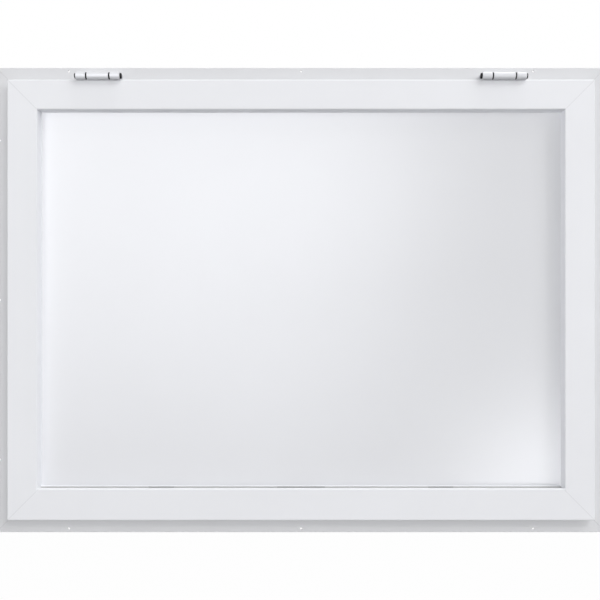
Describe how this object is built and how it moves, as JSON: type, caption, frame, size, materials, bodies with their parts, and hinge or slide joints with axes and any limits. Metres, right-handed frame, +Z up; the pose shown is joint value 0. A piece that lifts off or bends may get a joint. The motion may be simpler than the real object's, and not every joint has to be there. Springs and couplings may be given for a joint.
{
  "type": "concession window",
  "caption": "Flanged through-wall frame with a top-hung serving hatch: mitred rails around a recessed flat panel, hung on two butt hinges so that it lifts outwards",
  "frame": {"origin": "on the back of the sill's flange, at the middle of the window, level with the underside of the frame's sill, which is the lower edge of the wall opening", "axes": "+X runs to the right along the window as seen from outside, +Y goes into the wall, +Z is up"},
  "size_m": [1.2792, 0.085, 0.9744],
  "materials": {
    "frame_coat": "satin",
    "hatch_coat": "satin",
    "panel_sheet": "gloss",
    "hinge_metal": "satin",
    "pin_steel": "satin",
    "black_nylon": "matte",
    "black_rubber": "matte"
  },
  "bodies": {
    "frame": {"frame_head": "frame_coat", "frame_sill": "frame_coat", "frame_jamb_left": "frame_coat", "frame_jamb_right": "frame_coat", "seal_top": "black_rubber", "seal_bottom": "black_rubber", "seal_left": "black_rubber", "seal_right": "black_rubber", "hinge_left_frame_leaf": "hinge_metal", "hinge_left_pin": "pin_steel", "hinge_left_washers": "black_nylon", "hinge_left_caps": "black_nylon", "hinge_right_frame_leaf": "hinge_metal", "hinge_right_pin": "pin_steel", "hinge_right_washers": "black_nylon", "hinge_right_caps": "black_nylon"},
    "hatch": {"hatch_top_rail": "hatch_coat", "hatch_bottom_rail": "hatch_coat", "hatch_stile_left": "hatch_coat", "hatch_stile_right": "hatch_coat", "infill_panel": "panel_sheet", "gasket_top": "black_rubber", "gasket_bottom": "black_rubber", "gasket_left": "black_rubber", "gasket_right": "black_rubber", "bead_top": "hatch_coat", "bead_bottom": "hatch_coat", "bead_left": "hatch_coat", "bead_right": "hatch_coat", "hinge_left_hatch_leaf": "hinge_metal", "hinge_right_hatch_leaf": "hinge_metal"}
  },
  "joints": [
    {"name": "hatch_lift", "type": "hinge", "parent": "frame", "child": "hatch", "pos_m": [0, -0.02703, 0.90181], "axis": [-1, 0, 0], "range_deg": [0, 85]}
  ]
}
